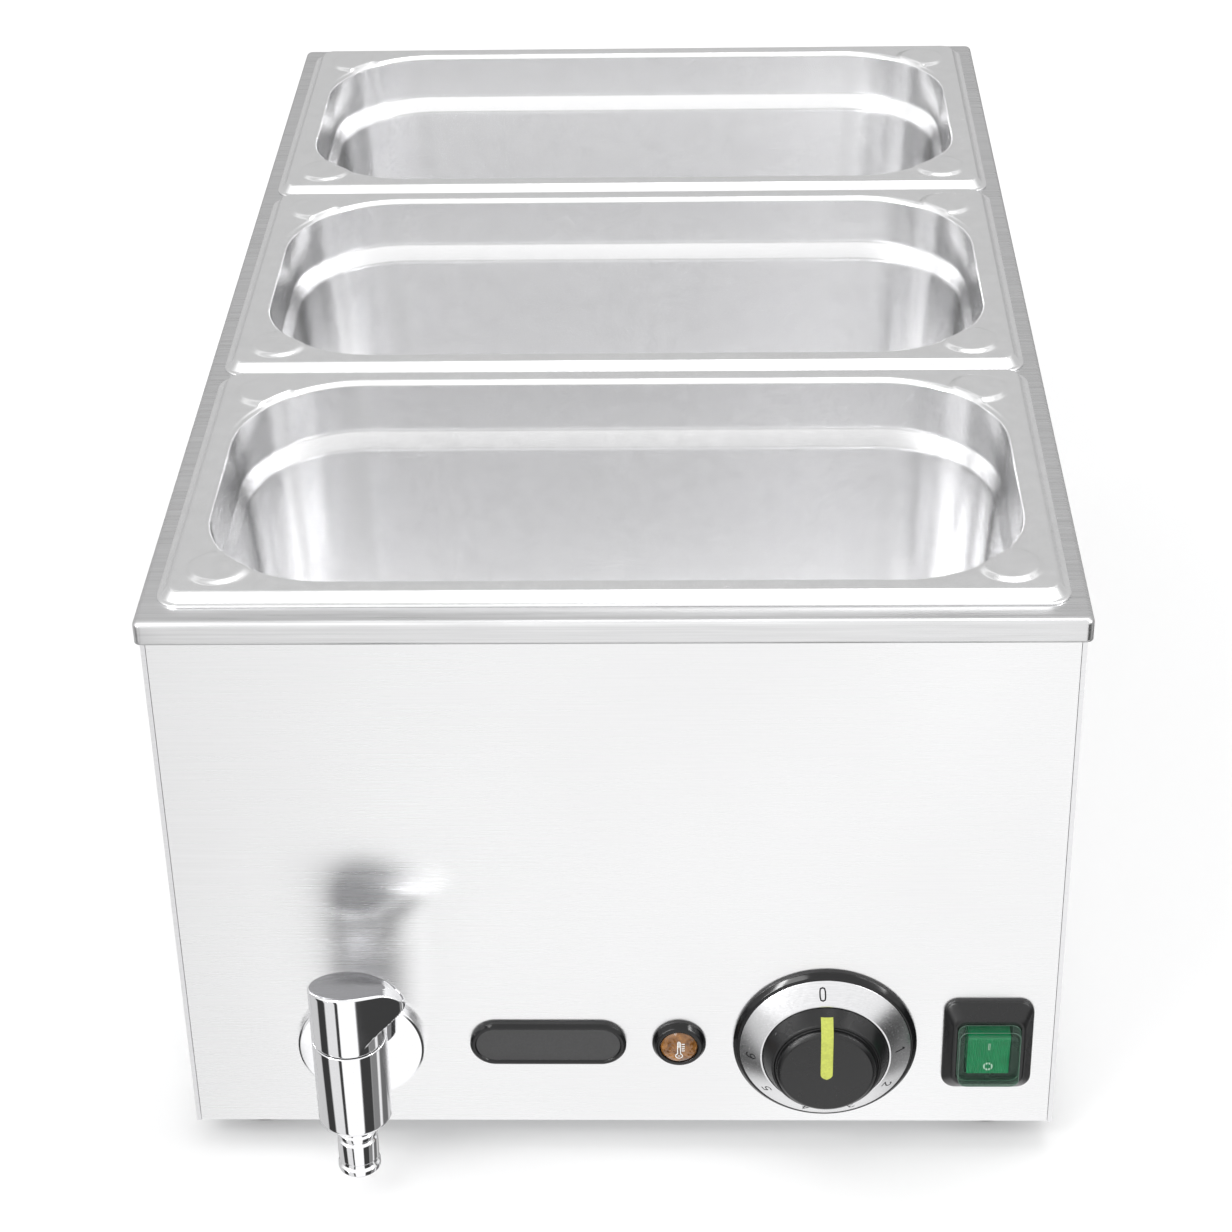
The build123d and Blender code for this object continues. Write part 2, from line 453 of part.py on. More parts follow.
W.append(tube([(66, -214, 36), (40, -206, 36), (15, -206, 50), (15, -206, 74)], [10, 10], 1.6))
W.append(tube([(22.4, -221, 46), (8, -214, 40), (-15, -206, 52), (-15, -206, 74)], [8, 8], 1.4))
put("wiring_loom", Compound(children=W))

gl = turned([(4.2, -19.5), (7.8, -19.5), (7.8, -7.5), (11.0, -7.5), (11.0, -5.9), (9.0, -5.0), (7.2, 0.0), (4.2, 0.0)])
gplane = Plane(origin=(GLAND_X, GLAND_END, GLAND_Z), x_dir=(1, 0, 0), z_dir=(0, 1, 0))
put("cable_gland", gplane * gl)
put("gland_nut", gplane * hexnut(22.0, 7.9, -14.0, -8.3))

for name, shape in nodes.items():
    s = shape
    if isinstance(s, ShapeList):
        s = Compound(children=list(s))
    s.label = name
    export_step(s, "parts/" + name + ".step")
    print("%-20s vol %10.1f" % (name, s.volume))
print(len(nodes), "nodes")
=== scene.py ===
import json
import math

import bmesh
import bpy
from mathutils import Matrix, Vector


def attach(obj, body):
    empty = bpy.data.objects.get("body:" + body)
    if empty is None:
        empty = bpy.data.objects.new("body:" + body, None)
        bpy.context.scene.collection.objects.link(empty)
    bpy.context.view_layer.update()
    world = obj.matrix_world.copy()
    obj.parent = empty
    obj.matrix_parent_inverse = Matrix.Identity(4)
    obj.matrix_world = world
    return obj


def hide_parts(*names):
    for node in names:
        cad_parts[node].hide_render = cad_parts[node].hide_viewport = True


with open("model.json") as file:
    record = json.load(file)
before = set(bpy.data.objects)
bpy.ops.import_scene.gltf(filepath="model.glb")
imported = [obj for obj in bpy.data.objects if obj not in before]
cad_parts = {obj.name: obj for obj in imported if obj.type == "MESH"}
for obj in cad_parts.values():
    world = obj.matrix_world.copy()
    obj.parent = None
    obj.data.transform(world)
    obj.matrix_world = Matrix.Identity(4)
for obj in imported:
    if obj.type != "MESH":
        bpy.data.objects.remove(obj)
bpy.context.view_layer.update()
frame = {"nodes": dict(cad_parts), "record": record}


PANEL = -252.5
CZ = 52.0
TAPX, BADGEX, LAMPX, DIALX, SWX = -99.6, -27.8, 22.4, 78.2, 140.2
TAPY = PANEL - 30.0
DECK_TOP = 244.0
PAN_TOP = 249.3
PAN_Y = (-156.5, 20.1, 196.7)


# ------------------------------------------------------------------ materials
def new_mat(name):
    m = bpy.data.materials.new(name)
    m.use_nodes = True
    t = m.node_tree
    t.nodes.clear()
    out = t.nodes.new("ShaderNodeOutputMaterial")
    p = t.nodes.new("ShaderNodeBsdfPrincipled")
    t.links.new(p.outputs[0], out.inputs[0])
    return m, t, p, out


def coords(t, scale=(1, 1, 1), rot=(0, 0, 0)):
    c = t.nodes.new("ShaderNodeTexCoord")
    mp = t.nodes.new("ShaderNodeMapping")
    mp.inputs["Scale"].default_value = scale
    mp.inputs["Rotation"].default_value = rot
    t.links.new(c.outputs["Object"], mp.inputs["Vector"])
    return mp.outputs[0]


def noise(t, vec, scale=1.0, detail=3.0, rough=0.6):
    n = t.nodes.new("ShaderNodeTexNoise")
    n.inputs["Scale"].default_value = scale
    n.inputs["Detail"].default_value = detail
    n.inputs["Roughness"].default_value = rough
    t.links.new(vec, n.inputs["Vector"])
    return n.outputs["Fac"]


def remap(t, val, a, b, c, d):
    r = t.nodes.new("ShaderNodeMapRange")
    r.inputs["From Min"].default_value = a
    r.inputs["From Max"].default_value = b
    r.inputs["To Min"].default_value = c
    r.inputs["To Max"].default_value = d
    t.links.new(val, r.inputs["Value"])
    return r.outputs[0]


def math_(t, op, a, b=None):
    n = t.nodes.new("ShaderNodeMath")
    n.operation = op
    for i, v in enumerate((a, b)):
        if v is None:
            continue
        if isinstance(v, (int, float)):
            n.inputs[i].default_value = v
        else:
            t.links.new(v, n.inputs[i])
    return n.outputs[0]


def mixcol(t, fac, a, b):
    n = t.nodes.new("ShaderNodeMix")
    n.data_type = "RGBA"
    n.inputs[6].default_value = (*a, 1)
    n.inputs[7].default_value = (*b, 1)
    t.links.new(fac, n.inputs[0])
    return n.outputs[2]


def bump(t, p, height, strength, dist):
    b = t.nodes.new("ShaderNodeBump")
    b.inputs["Strength"].default_value = strength
    b.inputs["Distance"].default_value = dist
    t.links.new(height, b.inputs["Height"])
    t.links.new(b.outputs[0], p.inputs["Normal"])


def wrapped(t, along, across):
    """Grain that runs level round a folded sheet: x + y along it, z across it."""
    c = t.nodes.new("ShaderNodeTexCoord")
    sep = t.nodes.new("ShaderNodeSeparateXYZ")
    com = t.nodes.new("ShaderNodeCombineXYZ")
    t.links.new(c.outputs["Object"], sep.inputs[0])
    t.links.new(math_(t, "MULTIPLY", math_(t, "ADD", sep.outputs[0], sep.outputs[1]), along), com.inputs[0])
    t.links.new(math_(t, "MULTIPLY", sep.outputs[2], across), com.inputs[2])
    return com.outputs[0]


def brushed(name, col, along, rmin, rmax, strength=0.2, dist=0.00004, grain=1.0, tint=0.06, blotch=0.05, wrap=False):
    """Sheet metal with a brushed grain along the axis named."""
    m, t, p, _ = new_mat(name)
    s = {"x": (9, 2400, 2400), "y": (2400, 9, 2400), "z": (2400, 2400, 9), "n": (700, 700, 700)}[along]
    s = tuple(v * grain if v > 20 else v for v in s)
    n1 = noise(t, wrapped(t, 9, 2400 * grain) if wrap else coords(t, s), 1.0, 4.0, 0.65)
    s2 = {"x": (26, 700, 700), "y": (700, 26, 700), "z": (700, 700, 26), "n": (160, 160, 160)}[along]
    n2 = noise(t, wrapped(t, 26, 700) if wrap else coords(t, s2), 1.0, 2.0, 0.5)
    big = noise(t, coords(t, (7, 7, 7)), 1.0, 2.0, 0.5)
    mix = math_(t, "ADD", math_(t, "MULTIPLY", n1, 0.6), math_(t, "MULTIPLY", n2, 0.4))
    r = math_(t, "ADD", remap(t, mix, 0.3, 0.7, rmin, rmax), remap(t, big, 0.3, 0.7, -blotch, blotch))
    t.links.new(r, p.inputs["Roughness"])
    lo = tuple(c * (1 - tint) for c in col)
    hi = tuple(min(1.0, c * (1 + tint)) for c in col)
    t.links.new(mixcol(t, remap(t, mix, 0.32, 0.68, 0, 1), lo, hi), p.inputs["Base Color"])
    p.inputs["Metallic"].default_value = 1.0
    bump(t, p, mix, strength, dist)
    return m


def plastic(name, col, rmin, rmax, bscale=900, bstr=0.15, bdist=0.00003, tint=0.12, coat=0.0, spec=0.5):
    m, t, p, _ = new_mat(name)
    n1 = noise(t, coords(t, (bscale, bscale, bscale)), 1.0, 3.0, 0.6)
    big = noise(t, coords(t, (45, 45, 45)), 1.0, 3.0, 0.6)
    t.links.new(remap(t, big, 0.3, 0.7, rmin, rmax), p.inputs["Roughness"])
    lo = tuple(c * (1 - tint) for c in col)
    hi = tuple(min(1.0, c * (1 + tint)) for c in col)
    t.links.new(mixcol(t, remap(t, n1, 0.3, 0.7, 0, 1), lo, hi), p.inputs["Base Color"])
    p.inputs["Specular IOR Level"].default_value = spec
    if coat:
        p.inputs["Coat Weight"].default_value = coat
        p.inputs["Coat Roughness"].default_value = 0.05
    bump(t, p, n1, bstr, bdist)
    return m


def polished(name, col, rmin, rmax):
    m, t, p, _ = new_mat(name)
    p.inputs["Metallic"].default_value = 1.0
    big = noise(t, coords(t, (120, 120, 120)), 1.0, 4.0, 0.6)
    fine = noise(t, coords(t, (1500, 1500, 1500)), 1.0, 2.0, 0.6)
    t.links.new(remap(t, big, 0.3, 0.7, rmin, rmax), p.inputs["Roughness"])
    lo = tuple(c * 0.96 for c in col)
    t.links.new(mixcol(t, remap(t, fine, 0.35, 0.65, 0, 1), lo, col), p.inputs["Base Color"])
    bump(t, p, big, 0.05, 0.00005)
    return m


M = {}
M["deck"] = brushed("deck_steel_look", (0.71, 0.71, 0.715), "x", 0.25, 0.35, 0.2, 0.00003, 0.8, 0.10)
M["tank"] = brushed("tank_steel_look", (0.60, 0.60, 0.61), "n", 0.32, 0.42, 0.15)
M["casing"] = brushed("casing_steel_look", (0.80, 0.80, 0.81), "y", 0.26, 0.36, 0.18, 0.00003, 1.0, 0.06, 0.04, wrap=True)
M["panel"] = brushed("panel_steel_look", (0.925, 0.925, 0.93), "x", 0.24, 0.32, 0.12, 0.00002, 1.0, 0.045, 0.02)
for k in M["panel"].node_tree.nodes:
    if k.type == "BSDF_PRINCIPLED":
        k.inputs["Anisotropic"].default_value = 0.75
M["pan"] = brushed("pan_steel_look", (0.95, 0.95, 0.955), "n", 0.19, 0.27, 0.05, 0.00001, 1.6, 0.03, 0.02)
M["galv"] = brushed("galvanised_look", (0.58, 0.59, 0.60), "n", 0.36, 0.5, 0.2, 0.00005, 0.4, 0.12)
M["chrome"] = polished("tap_chrome_look", (0.93, 0.93, 0.945), 0.035, 0.075)
# Darker chrome for the tap lever's top: its dark base colour is painted shade, standing in for the dark reflection on
# the top.
M["satin"] = polished("tap_top_painted_shade_look", (0.25, 0.25, 0.26), 0.08, 0.16)
M["zinc"] = polished("zinc_look", (0.66, 0.66, 0.68), 0.25, 0.4)
M["brass"] = polished("brass_look", (0.72, 0.55, 0.27), 0.22, 0.38)
M["copper"] = polished("copper_look", (0.72, 0.42, 0.29), 0.25, 0.4)
M["black"] = plastic("black_satin_look", (0.0075, 0.0075, 0.008), 0.22, 0.32, 1300, 0.16, spec=0.5)
M["gloss"] = plastic("black_gloss_look", (0.006, 0.006, 0.0065), 0.10, 0.18, 1100, 0.06, spec=0.42)
M["grey"] = plastic("dark_face_look", (0.045, 0.045, 0.046), 0.36, 0.48, 1500, 0.3)
M["lime"] = plastic("lime_look", (0.53, 0.58, 0.10), 0.34, 0.46, 1200, 0.12)
M["rubber"] = plastic("foot_rubber_look", (0.03, 0.03, 0.03), 0.6, 0.75, 700, 0.4, 0.00006)
M["white"] = plastic("white_plastic_look", (0.78, 0.77, 0.72), 0.35, 0.5)
M["ceramic"] = plastic("ceramic_look", (0.83, 0.81, 0.76), 0.15, 0.25)
M["fibre"] = plastic("fibre_look", (0.78, 0.77, 0.72), 0.8, 0.95, 400, 1.0, 0.0006)
M["sleeve"] = plastic("sleeve_look", (0.09, 0.09, 0.11), 0.6, 0.8, 600, 0.6, 0.0001)
M["print"] = plastic("print_dark_look", (0.010, 0.010, 0.011), 0.5, 0.6, spec=0.15)
M["mark"] = plastic("print_white_look", (0.82, 0.84, 0.83), 0.35, 0.5)


def ring_metal():
    """Silver ring brushed across, with a fine even noise in its bump."""
    m, t, p, _ = new_mat("dial_ring_look")
    p.inputs["Metallic"].default_value = 1.0
    n1 = noise(t, coords(t, (60, 2600, 2600)), 1.0, 4.0, 0.6)
    n2 = noise(t, coords(t, (900, 900, 900)), 1.0, 2.0, 0.6)
    t.links.new(remap(t, n1, 0.3, 0.7, 0.20, 0.28), p.inputs["Roughness"])
    t.links.new(mixcol(t, remap(t, n1, 0.3, 0.7, 0, 1), (0.70, 0.70, 0.71), (0.80, 0.80, 0.81)), p.inputs["Base Color"])
    bump(t, p, math_(t, "ADD", n1, math_(t, "MULTIPLY", n2, 0.3)), 0.08, 0.00002)
    return m


M["ring"] = ring_metal()


def amber():
    m, t, p, out = new_mat("amber_lens_look")
    n = noise(t, coords(t, (260, 260, 260)), 1.0, 3.0, 0.6)
    t.links.new(mixcol(t, remap(t, n, 0.3, 0.7, 0, 1), (0.085, 0.030, 0.006), (0.40, 0.17, 0.035)), p.inputs["Base Color"])
    t.links.new(remap(t, n, 0.3, 0.7, 0.08, 0.2), p.inputs["Roughness"])
    p.inputs["Subsurface Weight"].default_value = 0.0
    p.inputs["Coat Weight"].default_value = 0.6
    p.inputs["Coat Roughness"].default_value = 0.04
    bump(t, p, n, 0.1, 0.00005)
    return m


M["amber"] = amber()


def green():
    m, t, p, out = new_mat("green_rocker_painted_glow_look")
    n = noise(t, coords(t, (300, 300, 300)), 1.0, 3.0, 0.6)
    t.links.new(mixcol(t, remap(t, n, 0.3, 0.7, 0, 1), (0.0, 0.20, 0.075), (0.006, 0.30, 0.12)), p.inputs["Base Color"])
    t.links.new(remap(t, n, 0.3, 0.7, 0.15, 0.28), p.inputs["Roughness"])
    # Emission: painted glow, lightening the green of the rocker.
    p.inputs["Emission Color"].default_value = (0.0, 0.32, 0.12, 1)
    p.inputs["Emission Strength"].default_value = 0.10
    bump(t, p, n, 0.08, 0.00004)
    return m


M["green"] = green()


def clear():
    """Thin clear cover: mostly see-through, glossy, greenish where it is seen edge on."""
    m, t, p, out = new_mat("clear_cover_look")
    lw = t.nodes.new("ShaderNodeLayerWeight")
    lw.inputs["Blend"].default_value = 0.25
    n = noise(t, coords(t, (180, 180, 180)), 1.0, 3.0, 0.6)
    p.inputs["Base Color"].default_value = (0.10, 0.19, 0.14, 1)
    t.links.new(remap(t, n, 0.3, 0.7, 0.05, 0.14), p.inputs["Roughness"])
    tr = t.nodes.new("ShaderNodeBsdfTransparent")
    tr.inputs[0].default_value = (0.80, 0.93, 0.85, 1)
    mx = t.nodes.new("ShaderNodeMixShader")
    t.links.new(remap(t, lw.outputs["Facing"], 0.0, 0.85, 0.04, 0.8), mx.inputs[0])
    t.links.new(tr.outputs[0], mx.inputs[1])
    t.links.new(p.outputs[0], mx.inputs[2])
    t.links.new(mx.outputs[0], out.inputs[0])
    bump(t, p, n, 0.06, 0.00004)
    return m


M["clear"] = clear()

# Opaque dark green for the bead round the clear cover's edges: a painted edge line standing in for how the clear cover
# looks where it is seen edge on.
M["bead"] = plastic("clear_cover_painted_edge_look", (0.10, 0.17, 0.13), 0.12, 0.22, 900, 0.05)

SLOT_LOOK = {
    "deck_steel": "deck", "tank_steel": "tank", "casing_steel": "casing", "panel_steel": "panel", "pan_steel": "pan",
    "galvanised_sheet": "galv", "tap_chrome": "chrome", "dial_aluminium": "ring", "brass_fitting": "brass",
    "zinc_fastener": "zinc", "foot_rubber": "rubber", "seal_rubber": "rubber", "black_plastic": "black",
    "lime_plastic": "lime", "amber_lens": "amber", "clear_cover": "clear", "green_rocker": "green",
    "white_plastic": "white", "ceramic_bead": "ceramic", "insulation_fibre": "fibre", "copper_bulb": "copper",
    "wire_sleeve": "sleeve"}
for sp in frame["record"]["subparts"]:
    o = frame["nodes"].get(sp["node"])
    look = SLOT_LOOK.get(sp.get("material_slot"))
    if o is not None and look:
        o.data.materials.clear()
        o.data.materials.append(M[look])


# -------------------------------------------------------------------- helpers
def arc_fillet(pts, radii, n=6):
    """Rounds the corners of an open polyline of (a, b) points."""
    out = []
    for i, p in enumerate(pts):
        r = radii[i] if i < len(radii) else 0.0
        if r <= 0 or i in (0, len(pts) - 1):
            out.append(tuple(p))
            continue
        a, b, c = Vector(pts[i - 1]), Vector(p), Vector(pts[i + 1])
        u, v = (a - b), (c - b)
        lu, lv = u.length, v.length
        u.normalize(); v.normalize()
        ang = math.acos(max(-1, min(1, u.dot(v))))
        if ang > math.pi - 0.02:
            out.append(tuple(p))
            continue
        d = min(r / math.tan(ang / 2), lu * 0.49, lv * 0.49)
        rr = d * math.tan(ang / 2)
        cen = b + (u + v).normalized() * (rr / math.sin(ang / 2))
        s, e = b + u * d, b + v * d
        a0 = math.atan2(s.y - cen.y, s.x - cen.x)
        a1 = math.atan2(e.y - cen.y, e.x - cen.x)
        da = (a1 - a0 + math.pi) % (2 * math.pi) - math.pi
        for k in range(n + 1):
            t = a0 + da * k / n
            out.append((cen.x + rr * math.cos(t), cen.y + rr * math.sin(t)))
    return out


def make(name, verts, faces, mat, body, node=None, sharp=32, thick=None, place=None, closed=False, flat=False):
    """A mesh piece from points in mm."""
    me = bpy.data.meshes.new(name)
    if place:
        verts = [place(v) for v in verts]
    me.from_pydata([(v[0] * 0.001, v[1] * 0.001, v[2] * 0.001) for v in verts], [], faces)
    me.validate()
    bm = bmesh.new()
    bm.from_mesh(me)
    bmesh.ops.remove_doubles(bm, verts=bm.verts, dist=1e-7)
    if closed:
        bmesh.ops.recalc_face_normals(bm, faces=bm.faces)
    bm.to_mesh(me)
    bm.free()
    if flat:
        for p in me.polygons:
            p.use_smooth = False
    else:
        me.shade_smooth()
        me.set_sharp_from_angle(angle=math.radians(sharp))
    ob = bpy.data.objects.new(name, me)
    bpy.context.scene.collection.objects.link(ob)
    me.materials.append(mat)
    if thick:
        md = ob.modifiers.new("sheet", "SOLIDIFY")
        md.thickness = thick * 0.001
        md.offset = -1
        md.use_even_offset = False
    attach(ob, body)
    if node:
        if isinstance(node, str):
            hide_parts(node)
        else:
            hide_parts(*node)
    return ob


def rings_faces(counts, m, base=0, wrap=True):
    f = []
    for i in range(counts - 1):
        for j in range(m if wrap else m - 1):
            k = (j + 1) % m
            f.append((base + i * m + j, base + i * m + k, base + (i + 1) * m + k, base + (i + 1) * m + j))
    return f


def lathe(profile, n=96):
    """(points, faces) of a profile of (radius, height) turned about local Z."""
    v, f = [], []
    for r, h in profile:
        for j in range(n):
            a = 2 * math.pi * j / n
            v.append((r * math.cos(a), r * math.sin(a), h))
    f = rings_faces(len(profile), n)
    return v, f


def join(*parts):
    v, f = [], []
    for pv, pf in parts:
        b = len(v)
        v += list(pv)
        f += [tuple(i + b for i in q) for q in pf]
    return v, f


def on_panel(x0, z0=CZ):
    return lambda v: (x0 + v[0], PANEL - v[2], z0 + v[1])


def at(x0, y0, z0=0.0):
    return lambda v: (x0 + v[0], y0 + v[1], z0 + v[2])


def rr_ring(w, d, r, z, cx=0.0, cy=0.0, n=24, mx=1, my=1, bulge=0.0):
    """Rounded-rectangle ring, counter-clockwise from above. mx and my add points along the straights."""
    r = max(r, 0.01)
    pts = []
    hw, hd = w / 2 - r, d / 2 - r
    cs = [(hw, -hd, -90), (hw, hd, 0), (-hw, hd, 90), (-hw, -hd, 180)]
    for i, (x, y, a0) in enumerate(cs):
        for k in range(n + 1):
            a = math.radians(a0 + 90 * k / n)
            pts.append((x + r * math.cos(a), y + r * math.sin(a)))
        nx, ny, na = cs[(i + 1) % 4]
        e = (nx + r * math.cos(math.radians(na)), ny + r * math.sin(math.radians(na)))
        s = pts[-1]
        m = my if i % 2 == 0 else mx
        for k in range(1, m):
            pts.append((s[0] + (e[0] - s[0]) * k / m, s[1] + (e[1] - s[1]) * k / m))
    if bulge:
        q = []
        for x, y in pts:
            fx = 1 + bulge * (1 - (y / (d / 2)) ** 2) / (w / 2)
            fy = 1 + bulge * (1 - (x / (w / 2)) ** 2) / (d / 2)
            q.append((x * fx, y * fy))
        pts = q
    return [(cx + x, cy + y, z) for x, y in pts]


def loft(rings, cap_first=False, cap_last=False):
    m = len(rings[0])
    v = [p for r in rings for p in r]
    f = rings_faces(len(rings), m)
    if cap_first:
        f.append(tuple(range(m - 1, -1, -1)))
    if cap_last:
        b = (len(rings) - 1) * m
        f.append(tuple(b + j for j in range(m)))
    return v, f


def smooth01(t):
    t = max(0.0, min(1.0, t))
    return t * t * (3 - 2 * t)


# ------------------------------------------------------------------------ pans
PAD_H = 1.0
FLAT_Z = PAN_TOP - PAD_H


def pan_mesh(cy):
    n, mx, my = 64, 40, 16
    rings = []

    def ring(e, r, z):
        rings.append(rr_ring(325 - 2 * e, 176 - 2 * e, r, z, 0, 0, n, mx, my))

    prof = arc_fillet([(0.0, 244.05), (0.0, 244.9), (1.7, 244.95), (4.3, FLAT_Z), (7.0, FLAT_Z)], [0, 0.45, 0.7, 1.5, 0], 6)
    for e, z in prof[:-1]:
        ring(e, max(9.0 - e * 0.9, 5.0), z)
    e0, e1 = prof[-2][0], 12.5 - 2.2
    flat = 34
    for k in range(1, flat + 1):
        t = k / flat
        ring(e0 + (e1 - e0) * t, 5.0 + (50.2 - 5.0) * t, FLAT_Z)
    start_roll = len(rings)
    for k in range(1, 9):
        a = math.radians(86 * k / 8)
        ring(e1 + 2.2 * math.sin(a), 50.2 - 2.2 * math.sin(a), FLAT_Z - 2.2 * (1 - math.cos(a)))
    end_roll = len(rings)
    wall = arc_fillet([(12.5, 3.4), (13.9, 22.0), (16.6, 30.0), (26.5, 149.2), (40.0, 149.2), (60.0, 149.2)],
                      [0, 9.0, 9.0, 12.0, 0, 0], 10)
    for i, (e, dep) in enumerate(wall):
        ring(e, max(48 - (e - 12.5) * 0.9, 4), PAN_TOP - dep)
    ring(75.0, 8.0, PAN_TOP - 149.0)
    # raised round pads in the corners of the rim
    for i in range(len(rings)):
        if i >= end_roll:
            break
        w = 1.0 if i >= 12 else 0.0
        if i >= start_roll:
            w = 1.0 - smooth01((i - start_roll + 1) / (end_roll - start_roll))
        if w <= 0:
            continue
        for j, (x, y, z) in enumerate(rings[i]):
            dx, dy = abs(x) - (162.5 - 20.6), abs(y) - (88 - 20.6)
            d = math.hypot(dx, dy)
            h = PAD_H * (1 - smooth01((d - 9.6) / 2.6))
            if h > 0 and (i >= start_roll or z > FLAT_Z - 0.01):
                rings[i][j] = (x, y, z + h * w)
    v, f = loft(rings, cap_last=True)
    return [(x, y + cy, z) for x, y, z in v], f


for tag, cy in zip(("front", "middle", "rear"), PAN_Y):
    v, f = pan_mesh(cy)
    make("pan_" + tag, v, f, M["pan"], tag + "_pan", "gn_pan_" + tag, 40, 0.8)

# ------------------------------------------------------------------------ deck
dcy, wcy = 18.75, 20.1
rings = []
for z in (235.0, 236.2, 238.0, 240.0, 241.6):
    rings.append(rr_ring(338, 546.5, 3.2, z, 0, dcy, 12, 40, 60))
for k in range(0, 11):
    a = math.radians(9 * k)
    i = 2.2 * (1 - math.cos(a))
    rings.append(rr_ring(338 - 2 * i, 546.5 - 2 * i, 3.2 - i, DECK_TOP - 2.2 + 2.2 * math.sin(a), 0, dcy, 12, 40, 60))
for k in range(1, 7):
    t = k / 6
    w = (338 - 4.4) + (311 - 338 + 4.4) * t
    d = (546.5 - 4.4) + (515.2 - 546.5 + 4.4) * t
    rings.append(rr_ring(w, d, 1.0 + 19.0 * t, DECK_TOP, 0, dcy + (wcy - dcy) * t, 12, 40, 60))
v, f = loft(rings)
make("deck_sheet", v, f, M["deck"], "casing", "deck_plate", 45, 0.8)

# ------------------------------------------------------------------------- tap
prof = arc_fillet([(24.2, 0.0), (24.2, 3.2), (23.3, 3.75), (12.0, 4.45), (9.3, 4.6), (9.3, 0.4)], [0, 0.6, 0.5, 4, 0.3, 0], 8)
v, f = lathe(prof, 128)
make("tap_rosette", v, f, M["chrome"], "casing", "tap_flange", 40, place=on_panel(TAPX))

bar = lathe(arc_fillet([(0.01, 42.0), (14.0, 42.0), (14.0, 80.6), (8.3, 80.6), (8.3, 70.0)], [0, 2.6, 0.6, 0.3, 0], 8), 128)
arm = lathe([(9.2, -4.0), (9.2, 4.4), (9.2, 28.0)], 64)
arm = ([(x, -z + 30.0, y + CZ) for x, y, z in arm[0]], [tuple(reversed(q)) for q in arm[1]])
v, f = join(bar, arm)
make("tap_barrel", v, f, M["chrome"], "casing", "tap_body", 40, place=at(TAPX, TAPY))

prof = [(4.2, 45.0), (4.2, 17.0), (7.3, 17.0), (8.1, 17.9), (8.1, 19.7), (7.25, 20.8), (7.2, 22.4), (7.7, 23.1), (7.7, 31.7),
        (6.9, 32.7), (6.9, 33.3), (7.8, 34.1), (7.8, 35.7), (7.1, 36.5), (7.1, 38.1), (6.2, 38.8), (6.2, 39.5), (6.8, 40.1),
        (6.8, 45.4)]
prof = arc_fillet(prof, [0, 0.3, 0.4, 0.5, 0.4, 0.3, 0.3, 0.3, 0.5, 0.25, 0.25, 0.4, 0.4, 0.3, 0.4, 0.25, 0.25, 0.3, 0], 4)
v, f = lathe(prof, 96)
make("tap_nozzle", v, f, M["chrome"], "casing", "hose_nozzle", 35, place=at(TAPX, TAPY))

TIP = (17.75, -2.5, 4.5)
TEAR = [(14.0 * math.cos(math.radians(49.9 + 244.2 * k / 64)), 14.0 * math.sin(math.radians(49.9 + 244.2 * k / 64))) for k in range(65)]
ang = math.radians(-65.9)
p0, p1 = TEAR[-1], (TIP[0] + TIP[2] * math.cos(ang), TIP[1] + TIP[2] * math.sin(ang))
for k in range(1, 12):
    t = k / 12
    bow = 0.10 * 4 * t * (1 - t)
    TEAR.append((p0[0] + (p1[0] - p0[0]) * t + bow * math.cos(ang), p0[1] + (p1[1] - p0[1]) * t + bow * math.sin(ang)))
TEAR += [(TIP[0] + TIP[2] * math.cos(math.radians(-65.9 + 115.8 * k / 24)), TIP[1] + TIP[2] * math.sin(math.radians(-65.9 + 115.8 * k / 24)))
         for k in range(25)]
TEAR.append(TEAR[0])


def tear_radius(a):
    """Outline of the lever's plan, as a distance from the axis in direction a."""
    best = 14.0
    c, s = math.cos(a), math.sin(a)
    for (x0, y0), (x1, y1) in zip(TEAR, TEAR[1:]):
        dx, dy = x1 - x0, y1 - y0
        det = c * dy - s * dx
        if abs(det) < 1e-9:
            continue
        t = (x0 * dy - y0 * dx) / det
        u = (x0 * s - y0 * c) / det
        if 0 <= u <= 1 and t > best:
            best = t
    return best


CUT = [(80.0, 4.0), (84.0, 6.6), (87.5, 9.8), (90.0, 13.0), (92.5, 16.2), (95.3, 19.6), (97.6, 22.2), (100.0, 23.4), (140.0, 24.0)]


def cut_x(z):
    for (z0, x0), (z1, x1) in zip(CUT, CUT[1:]):
        if z <= z1:
            t = (z - z0) / (z1 - z0)
            return x0 + (x1 - x0) * t
    return 99.0


def lever_top(x, y):
    return 104.3 - 0.30 * y - 0.062 * max(0.0, x - 13.0) ** 2


NA = 240
rad = []
for j in range(NA):
    a = 2 * math.pi * j / NA
    rad.append(tear_radius(a))
for _ in range(2):
    rad = [max(14.0, (rad[j - 1] + 2 * rad[j] + rad[(j + 1) % NA]) / 4) for j in range(NA)]
verts = []
rows = 0
ZB = 81.2


def side_point(j, z, shrink=0.0):
    a = 2 * math.pi * j / NA
    c, s = math.cos(a), math.sin(a)
    r = rad[j]
    if c > 0.02:
        r = min(r, max(14.0, cut_x(z) / c))
    r = max(r, 14.0) - shrink
    return (r * c, r * s, z)


LAST = 60
for i in range(4):
    sh = (1.0 - math.sin(math.radians(30 * i))) * 0.55
    for j in range(NA):
        verts.append(side_point(j, ZB + 0.55 * (1 - math.cos(math.radians(30 * i))), sh))
    rows += 1
RT = 1.3
for i in range(1, LAST):
    t = i / (LAST - 1)
    for j in range(NA):
        a = 2 * math.pi * j / NA
        rr = rad[j]
        top = lever_top(rr * math.cos(a), rr * math.sin(a)) - RT
        z = ZB + 0.55 + (top - ZB - 0.55) * t
        verts.append(side_point(j, z))
    rows += 1
for i in range(1, 8):
    ph = math.radians(90 * i / 7)
    for j in range(NA):
        a = 2 * math.pi * j / NA
        rr = rad[j]
        x, y = rr * math.cos(a), rr * math.sin(a)
        top = lever_top(x, y)
        q = side_point(j, top - RT, RT * (1 - math.cos(ph)))
        verts.append((q[0], q[1], top - RT * (1 - math.sin(ph))))
    rows += 1
